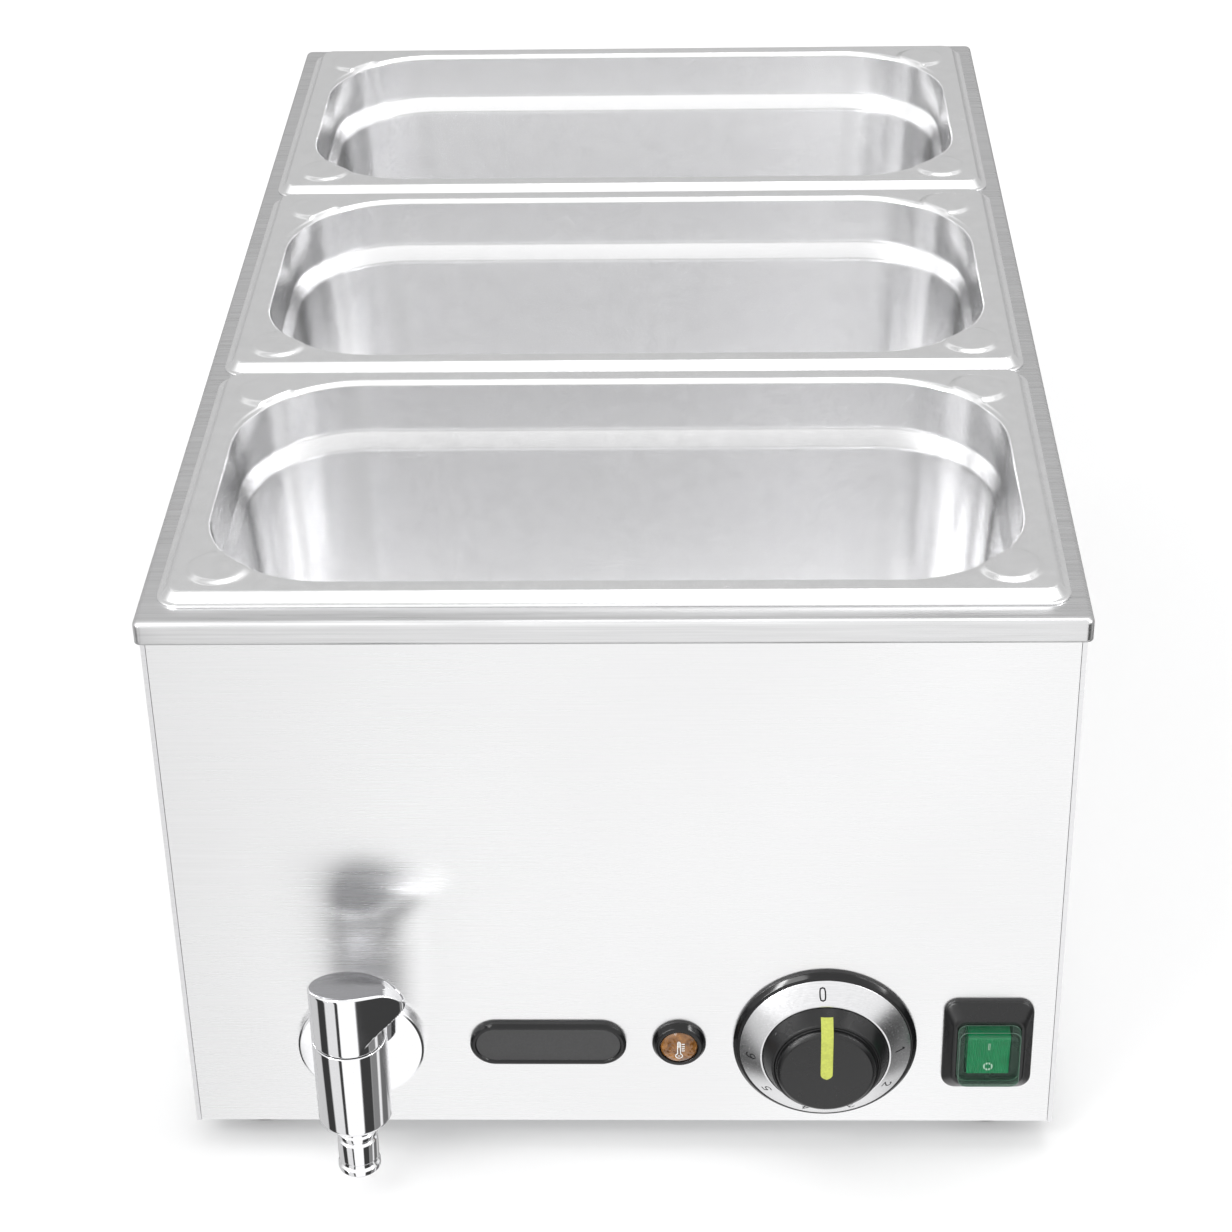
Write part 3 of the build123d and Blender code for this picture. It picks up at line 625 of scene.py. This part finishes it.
for i in range(1, 15):
    k = 1 - i / 14.0
    k = max(k, 0.002)
    for j in range(NA):
        a = 2 * math.pi * j / NA
        rr = (side_point(j, 120.0)[0] ** 2 + side_point(j, 120.0)[1] ** 2) ** 0.5 - RT
        x, y = rr * k * math.cos(a), rr * k * math.sin(a)
        edge = lever_top((rad[j]) * math.cos(a) * k, rad[j] * math.sin(a) * k)
        verts.append((x, y, edge + 0.55 * (1 - k * k)))
    rows += 1
faces = rings_faces(rows, NA)
lever = make("tap_lever_grip", verts, faces, M["chrome"], "tap_lever", "tap_handle", 38, place=at(TAPX, TAPY))
# The lever's upward-facing faces take the darker chrome: painted shade on the top of the grip.
lever.data.materials.append(M["satin"])
for p in lever.data.polygons:
    if p.normal.z > 0.90:
        p.material_index = 1

# ------------------------------------------------------------------------ dial
prof = arc_fillet([(35.1, 0.0), (35.1, 1.2), (33.6, 2.9), (32.7, 3.1), (32.7, 2.4), (30.0, 4.4)], [0, 0.7, 1.0, 0.3, 0, 0], 8)
v, f = lathe(prof, 160)
make("dial_base", v, f, M["gloss"], "casing", "dial_bezel", 40, place=on_panel(DIALX))


def cone_p(r):
    return 3.3 + (32.6 - r) * (8.45 - 3.3) / (32.6 - 24.9)


prof = arc_fillet([(32.65, 2.6), (32.65, 3.3), (24.9, 8.5), (24.1, 8.6), (24.1, 7.9)], [0, 0.3, 0.3, 0.25, 0], 6)
v, f = lathe(prof, 160)
make("dial_scale_ring", v, f, M["ring"], "casing", "dial_ring", 40, place=on_panel(DIALX))

# stroke digits: points in a box 1 high, centred
DIG = {
    "0": [[(0.0, 0.5), (-0.16, 0.44), (-0.21, 0.2), (-0.21, -0.2), (-0.16, -0.44), (0.0, -0.5), (0.16, -0.44), (0.21, -0.2),
           (0.21, 0.2), (0.16, 0.44), (0.0, 0.5)]],
    "1": [[(-0.16, 0.3), (0.03, 0.5), (0.03, -0.5)]],
    "2": [[(-0.25, 0.25), (-0.2, 0.42), (0.0, 0.5), (0.2, 0.42), (0.26, 0.22), (0.18, 0.0), (-0.27, -0.5), (0.28, -0.5)]],
    "3": [[(-0.24, 0.36), (0.0, 0.5), (0.2, 0.42), (0.24, 0.25), (0.17, 0.08), (-0.02, 0.02), (0.19, -0.05), (0.27, -0.24),
           (0.2, -0.43), (0.0, -0.5), (-0.26, -0.36)]],
    "4": [[(0.12, -0.5), (0.12, 0.5), (-0.3, -0.2), (0.3, -0.2)]],
    "5": [[(0.23, 0.5), (-0.18, 0.5), (-0.22, 0.05), (0.0, 0.12), (0.2, 0.04), (0.27, -0.18), (0.2, -0.4), (0.0, -0.5),
           (-0.25, -0.38)]],
    "6": [[(0.2, 0.4), (0.02, 0.5), (-0.18, 0.36), (-0.25, 0.0), (-0.24, -0.28), (-0.12, -0.46), (0.04, -0.5), (0.2, -0.4),
           (0.25, -0.2), (0.18, -0.02), (0.02, 0.05), (-0.16, -0.03), (-0.24, -0.2)]],
}


def strokes(lines, width, lift, surf, thick=0.0):
    """Flat ribbons along polylines. surf maps (u, v) to a point, lift raises it; the ribbon has side walls down to the surface."""
    v, f = [], []
    for line in lines:
        pts = [Vector(p) for p in line]
        fine = []
        for a, b in zip(pts, pts[1:]):
            k = max(1, int((b - a).length / 0.35))
            fine += [a + (b - a) * (i / k) for i in range(k)]
        fine.append(pts[-1])
        closed = (pts[0] - pts[-1]).length < 1e-6
        base = len(v)
        m = len(fine)
        for i, p in enumerate(fine):
            if closed:
                t = (fine[(i + 1) % (m - 1)] - fine[(i - 1) % (m - 1)])
            else:
                t = fine[min(i + 1, m - 1)] - fine[max(i - 1, 0)]
            t.normalize()
            nrm = Vector((-t.y, t.x)) * width / 2
            if not closed and i == 0:
                p = p - t * width / 2
            if not closed and i == m - 1:
                p = p + t * width / 2
            for q, h in ((p + nrm, -0.15), (p + nrm, lift), (p - nrm, lift), (p - nrm, -0.15)):
                v.append(surf(q.x, q.y, h))
        for i in range(m - 1):
            for k in range(3):
                a = base + i * 4 + k
                f.append((a, a + 1, a + 5, a + 4))
        if not closed:
            f.append((base, base + 3, base + 2, base + 1))
            e = base + (m - 1) * 4
            f.append((e, e + 1, e + 2, e + 3))
    return v, f


parts = []
for ch, ang, hgt in (("0", -3, 4.9), ("1", 87, 4.0), ("2", 123, 4.0), ("3", 159, 4.0), ("4", 195, 4.0), ("5", 231, 4.0), ("6", 267, 4.0)):
    lines = [[(x * hgt, y * hgt) for x, y in ln] for ln in DIG[ch]]
    ar = math.radians(ang)

    def surf(u, w, h, ar=ar):
        r = 28.5 + w * 0.84
        a = math.pi / 2 - ar
        x = r * math.cos(a) + u * math.sin(a)
        y = r * math.sin(a) - u * math.cos(a)
        rr = math.hypot(x, y)
        return (x, y, cone_p(rr) + h)

    parts.append(strokes(lines, 0.56 if ch == "0" else 0.5, 0.06, surf))
v, f = join(*parts)
make("dial_digits", v, f, M["print"], "casing", None, 30, place=on_panel(DIALX), closed=True)

prof = arc_fillet([(22.3, 0.9), (23.9, 0.9), (23.9, 8.6), (20.7, 14.7), (20.0, 15.1), (19.3, 14.7), (18.9, 14.9), (18.75, 17.1), (17.5, 18.15), (0.01, 18.4)],
                  [0, 0.25, 1.0, 0.5, 0.3, 0.15, 0.15, 0.7, 1.2, 0], 8)
v, f = lathe(prof, 160)
make("knob_shell", v, f, M["black"], "dial_knob", "knob_cap", 40, place=on_panel(DIALX))

path = arc_fillet([(-2.4, 18.8), (17.7, 18.75), (19.6, 17.6), (21.9, 13.6), (22.15, 12.2), (22.15, 11.0)], [0, 1.6, 1.2, 0.3, 0.3, 0], 6)
fine = []
for a, b in zip(path, path[1:]):
    k = max(1, int(math.hypot(b[0] - a[0], b[1] - a[1]) / 0.5))
    fine += [(a[0] + (b[0] - a[0]) * i / k, a[1] + (b[1] - a[1]) * i / k) for i in range(k)]
fine.append(path[-1])
cross = arc_fillet([(-1.0, -0.9), (-1.0, 0.0), (1.0, 0.0), (1.0, -0.9)], [0, 0.16, 0.16, 0], 4)
v = []
W2 = 2.3
for y, p in fine:
    hw = W2 if y > 0 else math.sqrt(max(0.02, W2 * W2 - min(y * y, W2 * W2)))
    for cx, cp in cross:
        v.append((cx * hw, y, p + cp * (1.6 if cp < -0.3 else 1.0)))
m = len(cross)
f = rings_faces(len(fine), m, 0, False)
f.append(tuple(range(m)))
f.append(tuple((len(fine) - 1) * m + j for j in range(m)))
make("knob_mark", v, f, M["lime"], "dial_knob", "knob_pointer", 40, place=on_panel(DIALX), closed=True)

# ------------------------------------------------------------------------ lamp
prof = arc_fillet([(10.3, 0.0), (10.3, 1.0), (8.9, 3.2), (7.5, 3.45), (7.05, 2.6), (7.05, 1.0)], [0, 0.6, 0.9, 0.4, 0.3, 0], 8)
v, f = lathe(prof, 96)
make("lamp_collar", v, f, M["gloss"], "casing", "lamp_bezel", 40, place=on_panel(LAMPX))


def dome_p(r):
    return 2.6 + 2.4 * math.sqrt(max(0.0, 1 - (r / 7.1) ** 2))


v, f = [], []
NR, NS = 9, 30
for i in range(NR):
    r = 7.0 * (1 - i / NR)
    for j in range(NS):
        a = 2 * math.pi * (j + 0.5 * (i % 2)) / NS
        v.append((r * math.cos(a), r * math.sin(a), dome_p(r) + (0.0 if i == 0 else 0.10 * ((i + j) % 2))))
v.append((0, 0, 5.05))
for i in range(NR - 1):
    for j in range(NS):
        k = (j + 1) % NS
        a, b, c, d = i * NS + j, i * NS + k, (i + 1) * NS + j, (i + 1) * NS + k
        if i % 2 == 0:
            f += [(a, b, c), (b, d, c)]
        else:
            f += [(a, b, d), (a, d, c)]
for j in range(NS):
    f.append(((NR - 1) * NS + j, (NR - 1) * NS + (j + 1) % NS, NR * NS))
lens = make("lamp_dome", v, f, M["amber"], "casing", "lamp_lens", 30, place=on_panel(LAMPX), flat=True)

bulb = [(1.3 * math.sin(math.radians(24 + 312 * k / 24)), -2.75 + 1.3 * math.cos(math.radians(24 + 312 * k / 24))) for k in range(25)]
th = [bulb + [(-0.53, -1.4), (-0.53, 3.3), (-0.3, 3.85), (0.3, 3.85), (0.53, 3.3), (0.53, -1.4), bulb[0]],
      [(0.0, 3.4), (0.0, 1.6)], [(-0.25, -2.75), (0.25, -2.75)],
      [(1.15, 2.9), (2.0, 2.9)], [(1.15, 1.9), (2.0, 1.9)], [(1.15, 0.9), (2.0, 0.9)], [(1.15, -0.1), (2.0, -0.1)]]
v, f = strokes(th, 0.36, 0.16, lambda u, w, h: (u, w, dome_p(math.hypot(u, w)) + h))
make("lamp_sign", v, f, M["mark"], "casing", None, 30, place=on_panel(LAMPX), closed=True)

# ---------------------------------------------------------------------- switch
sp = on_panel(SWX)
rings = []
for w, d, r, p, b in ((34.2, 42.0, 5.6, 0.0, 0), (34.2, 42.0, 5.6, 1.0, 0), (33.9, 41.7, 5.5, 1.5, 0), (33.2, 40.9, 5.3, 1.95, 0),
                      (31.6, 38.4, 5.0, 2.9, 0.15), (28.0, 32.8, 4.6, 5.4, 0.25), (27.0, 31.2, 4.4, 6.0, 0.2), (26.2, 30.2, 4.3, 6.2, 0.1),
                      (24.4, 28.2, 3.8, 6.2, 0), (23.9, 27.6, 3.7, 5.9, 0), (23.9, 27.6, 3.7, 4.2, 0), (17.8, 22.8, 0.6, 4.0, 0),
                      (17.8, 22.8, 0.6, -3.0, 0)):
    rings.append(rr_ring(w, d, r, p, 0, 0, 16, 8, 8, b))
v, f = loft(rings)
make("switch_surround", v, f, M["black"], "casing", "switch_frame", 45, place=sp)

rings = []
for w, d, r, p in ((23.6, 27.0, 3.6, 4.6), (23.6, 27.0, 3.6, 8.6), (23.3, 26.7, 3.5, 9.5), (22.6, 26.0, 3.3, 10.15), (21.4, 24.8, 3.0, 10.45),
                   (19.6, 23.0, 2.6, 10.3), (18.2, 21.6, 2.4, 9.9), (15.0, 18.0, 2.0, 9.9), (8.0, 10.0, 1.2, 9.95)):
    rings.append(rr_ring(w, d, r, p, 0, 0, 10, 6, 6))
v, f = loft(rings, cap_last=True)
make("switch_membrane", v, f, M["clear"], "casing", "switch_cover", 45, place=sp)

# Opaque beads round the cover's top edge and foot: the cover has edges there, and the dark line the beads draw is
# painted, standing in for the clear edge's reflection seen edge on.
parts = []
for w, d, r, p, t in ((22.9, 26.3, 3.4, 10.2, 0.13), (23.6, 27.0, 3.6, 6.3, 0.12)):
    rings = []
    for k in range(9):
        a = 2 * math.pi * k / 8
        rings.append(rr_ring(w + 2 * t * math.cos(a), d + 2 * t * math.cos(a), r, p + t * math.sin(a), 0, 0, 10, 6, 6))
    parts.append(loft(rings))
v, f = join(*parts)
make("switch_cover_painted_edge_line", v, f, M["bead"], "casing", None, 60, place=sp, closed=True)

tilt = math.radians(6.0)
ct, st = math.cos(tilt), math.sin(tilt)


def rocker_place(q):
    x, y, p = q[0], q[1], q[2] + 2.0
    return sp((x, y * ct - p * st, y * st + p * ct - 2.0))


def rock_p(y):
    return 6.7 + 0.7 * (abs(y) / 9.6) ** 1.6


nx, ny = 161, 97
v, f = [], []
for i in range(ny):
    y = -9.6 + 19.2 * i / (ny - 1)
    for j in range(nx):
        x = -8.0 + 16.0 * j / (nx - 1)
        edge = min(8.0 - abs(x), 9.6 - abs(y))
        rib = 0.36 * (0.5 + 0.5 * math.cos(2 * math.pi * x / 1.0)) + 0.07 * (0.5 + 0.5 * math.cos(2 * math.pi * y / 1.0))
        v.append((x, y, rock_p(y) - 0.25 + rib * min(1, edge / 0.8) - 0.5 * (1 - smooth01(edge / 0.7))))
f = []
for i in range(ny - 1):
    for j in range(nx - 1):
        a = i * nx + j
        f.append((a, a + 1, a + nx + 1, a + nx))
rim = [j for j in range(nx)] + [i * nx + nx - 1 for i in range(1, ny)] + [(ny - 1) * nx + j for j in range(nx - 2, -1, -1)] + \
      [i * nx for i in range(ny - 2, 0, -1)]
b = len(v)
for q in rim:
    v.append((v[q][0], v[q][1], -4.8))
for k in range(len(rim)):
    k2 = (k + 1) % len(rim)
    f.append((rim[k], b + k, b + k2, rim[k2]))
f.append(tuple(b + k for k in range(len(rim))))
make("rocker_button", v, f, M["green"], "power_rocker", "switch_rocker", 50, place=rocker_place, closed=True)
io = [[(0.0, 6.6), (0.0, 3.6)]]
o_ = [[(1.45 * math.cos(2 * math.pi * k / 28), -5.6 + 1.55 * math.sin(2 * math.pi * k / 28)) for k in range(28)] + [(1.45, -5.6)]]
v, f = strokes(io + o_, 0.72, 0.16, lambda u, w, h: (u, w, rock_p(w) - 0.1 + h))
make("rocker_marks", v, f, M["mark"], "power_rocker", None, 30, place=rocker_place, closed=True)

# ----------------------------------------------------------------------- badge
rings = []
for ins, p in arc_fillet([(0.0, 0.0), (0.0, 1.5), (0.9, 2.4), (2.0, 2.4), (2.3, 1.85), (5.0, 1.85)], [0, 0.5, 0.6, 0.35, 0.25, 0], 6):
    rings.append(rr_ring(60 - 2 * ins, 19.8 - 2 * ins, 9.9 - ins, p, 0, 0, 24, 10, 1))
inner = rings[-1]
v, f = loft(rings)
make("badge_rim", v, f, M["gloss"], "casing", "badge_plate", 40, place=on_panel(BADGEX))
rings = [[(x, y, 1.87) for x, y, _ in rr_ring(55.2, 15.0, 7.5, 0, 0, 0, 24, 10, 1)],
         [(x, y, 1.92) for x, y, _ in rr_ring(50, 10.0, 5.0, 0, 0, 0, 24, 10, 1)]]
v, f = loft(rings, cap_last=True)
make("badge_face", v, f, M["grey"], "casing", None, 40, place=on_panel(BADGEX))

# ------------------------------------------------------------------------ feet
parts = []
for x in (-143, 143):
    for y in (-227, 264):
        pv, pf = lathe(arc_fillet([(5.2, 6.0), (5.2, 0.0), (12.2, 0.0), (13.0, 1.4), (11.4, 12.0), (4.4, 12.0)], [0, 0.6, 0.8, 0.8, 0.3, 0], 5), 64)
        parts.append(([(a + x, b_ + y, c) for a, b_, c in pv], pf))
v, f = join(*parts)
make("feet_rubber", v, f, M["rubber"], "casing", "rubber_feet", 40)


# ----------------------------------------------------------------------- stage
def stage_world():
    w = bpy.data.worlds.new("studio")
    bpy.context.scene.world = w
    w.use_nodes = True
    t = w.node_tree
    t.nodes.clear()
    out = t.nodes.new("ShaderNodeOutputWorld")
    bg = t.nodes.new("ShaderNodeBackground")
    t.links.new(bg.outputs[0], out.inputs[0])
    tc = t.nodes.new("ShaderNodeTexCoord")
    sep = t.nodes.new("ShaderNodeSeparateXYZ")
    t.links.new(tc.outputs["Generated"], sep.inputs[0])
    x, y, z = sep.outputs

    def ss(val, a, b):
        r = t.nodes.new("ShaderNodeMapRange")
        r.interpolation_type = "SMOOTHSTEP"
        r.inputs["From Min"].default_value = a
        r.inputs["From Max"].default_value = b
        t.links.new(val, r.inputs["Value"])
        return r.outputs[0]

    def mixv(fac, a, b):
        n = t.nodes.new("ShaderNodeMix")
        n.data_type = "FLOAT"
        for i, v_ in ((2, a), (3, b)):
            if isinstance(v_, (int, float)):
                n.inputs[i].default_value = v_
            else:
                t.links.new(v_, n.inputs[i])
        t.links.new(fac, n.inputs[0])
        return n.outputs[0]

    az = math_(t, "ARCTAN2", x, math_(t, "MULTIPLY", y, -1.0))
    deg = math_(t, "MULTIPLY", az, 180 / math.pi)

    def band(a, b, soft):
        up = ss(deg, a - soft, a + soft)
        dn = ss(deg, b - soft, b + soft)
        return math_(t, "SUBTRACT", up, dn)

    front = ss(y, 0.35, -0.25)
    upper = mixv(front, 0.56, 1.12)
    roof = math_(t, "MULTIPLY", ss(z, 0.74, 0.80), math_(t, "SUBTRACT", 1.0, ss(z, 0.93, 0.97)))
    roof = math_(t, "MULTIPLY", roof, math_(t, "SUBTRACT", 1.0, front))
    upper = mixv(ss(z, 0.60, 0.75), upper, 1.05)
    upper = mixv(roof, upper, 0.62)
    low = mixv(band(-61, -24, 2), 0.62, 0.82)
    low = mixv(band(-20, 33, 2), low, 1.12)
    for a, b, soft, val in ((-90, -62, 3, 0.045), (-29, -20, 1.5, 0.05), (34, 68, 3, 0.05), (68, 92, 3, 0.24), (92, 103, 2, 0.9),
                            (103, 132, 4, 0.16), (150, 176, 6, 0.35), (-176, -150, 6, 0.4)):
        low = mixv(band(a, b, soft), low, val)
    deep = ss(z, -0.80, -0.95)
    low = mixv(deep, low, 1.05)
    val = mixv(ss(z, -0.10, 0.06), low, upper)
    rgb = t.nodes.new("ShaderNodeCombineColor")
    for i in range(3):
        t.links.new(val, rgb.inputs[i])
    t.links.new(rgb.outputs[0], bg.inputs[0])
    bg.inputs[1].default_value = 1.0


stage_world()


def emit(name, col, strength, diffuse=None):
    m, t, p, out = new_mat(name)
    p.inputs["Base Color"].default_value = (*(diffuse or col), 1)
    p.inputs["Roughness"].default_value = 0.9
    p.inputs["Specular IOR Level"].default_value = 0.0
    p.inputs["Emission Color"].default_value = (*col, 1)
    p.inputs["Emission Strength"].default_value = strength
    return m


def stage_mesh(name, verts, faces, mat):
    me = bpy.data.meshes.new(name)
    me.from_pydata(verts, [], faces)
    me.materials.append(mat)
    ob = bpy.data.objects.new(name, me)
    bpy.context.scene.collection.objects.link(ob)
    return ob


floor_mat = emit("floor_look", (1, 1, 1), 0.17, (0.86, 0.86, 0.86))
fl = stage_mesh("floor", [(-6, -6, -0.0002), (6, -6, -0.0002), (6, 6, -0.0002), (-6, 6, -0.0002)], [(0, 1, 2, 3)], floor_mat)
fl.visible_glossy = False

back_mat = emit("backdrop_look", (1, 1, 1), 1.0, (0, 0, 0))
bv, bf = [], []
NB = 48
for i, z in enumerate((-0.05, 1.0, 3.0, 6.0)):
    for j in range(NB):
        a = 2 * math.pi * j / NB
        bv.append((5.9 * math.cos(a), 5.9 * math.sin(a), z))
for i in range(3):
    for j in range(NB):
        bf.append((i * NB + j, i * NB + (j + 1) % NB, (i + 1) * NB + (j + 1) % NB, (i + 1) * NB + j))
bf.append(tuple(3 * NB + j for j in range(NB)))
bd = stage_mesh("backdrop", bv, bf, back_mat)
bd.visible_diffuse = False
bd.visible_glossy = False
bd.visible_shadow = False
bd.visible_transmission = False


def area(name, loc, target, size, power, shape="RECTANGLE", sy=None):
    ld = bpy.data.lights.new(name, "AREA")
    ld.shape = shape
    ld.size = size
    if sy:
        ld.size_y = sy
    ld.energy = power
    ob = bpy.data.objects.new(name, ld)
    bpy.context.scene.collection.objects.link(ob)
    ob.location = loc
    d = Vector(target) - Vector(loc)
    ob.rotation_euler = d.to_track_quat("-Z", "Y").to_euler()
    ob.visible_camera = False
    return ob


key = area("key_light", (-1.1, -1.5, 1.9), (0, -0.05, 0.15), 0.9, 9.0, "RECTANGLE", 0.7)
fill = area("top_light", (0.5, 0.3, 2.4), (0, 0, 0.2), 1.2, 9.0, "RECTANGLE", 1.2)

strip_l = area("strip_left", (-1.25, -1.15, 0.95), (0, -0.25, 0.08), 0.16, 16.0, "RECTANGLE", 1.1)
strip_r = area("strip_right", (1.45, -0.75, 1.15), (0.05, -0.25, 0.08), 0.16, 6.0, "RECTANGLE", 1.1)
for st_ in (strip_l, strip_r):
    st_.visible_diffuse = False

# ---------------------------------------------------------------------- camera
yaw, pitch, roll = math.radians(-1.987), math.radians(30.813), math.radians(1.249)
CAM = Vector((0.0324, -1.1182, 0.7921))
F = 2925.9
PY = 542.0
fwd = Vector((math.sin(yaw) * math.cos(pitch), math.cos(yaw) * math.cos(pitch), -math.sin(pitch)))
right = Vector((math.cos(yaw), -math.sin(yaw), 0.0))
down = fwd.cross(right)
r_ = right * math.cos(roll) + down * math.sin(roll)
d_ = -right * math.sin(roll) + down * math.cos(roll)
mat = Matrix(((r_.x, -d_.x, -fwd.x, CAM.x), (r_.y, -d_.y, -fwd.y, CAM.y), (r_.z, -d_.z, -fwd.z, CAM.z), (0, 0, 0, 1)))
cd = bpy.data.cameras.new("camera")
cd.sensor_fit = "HORIZONTAL"
cd.sensor_width = 36.0
cd.lens = F / 1232 * 36
cd.shift_y = (PY - 616) / 1232
cd.clip_start = 0.02
cd.clip_end = 60
co = bpy.data.objects.new("camera", cd)
bpy.context.scene.collection.objects.link(co)
co.matrix_world = mat
bpy.context.scene.camera = co

sc = bpy.context.scene
sc.view_settings.view_transform = "Standard"
sc.view_settings.look = "None"
sc.view_settings.exposure = 0.0
sc.view_settings.gamma = 1.0
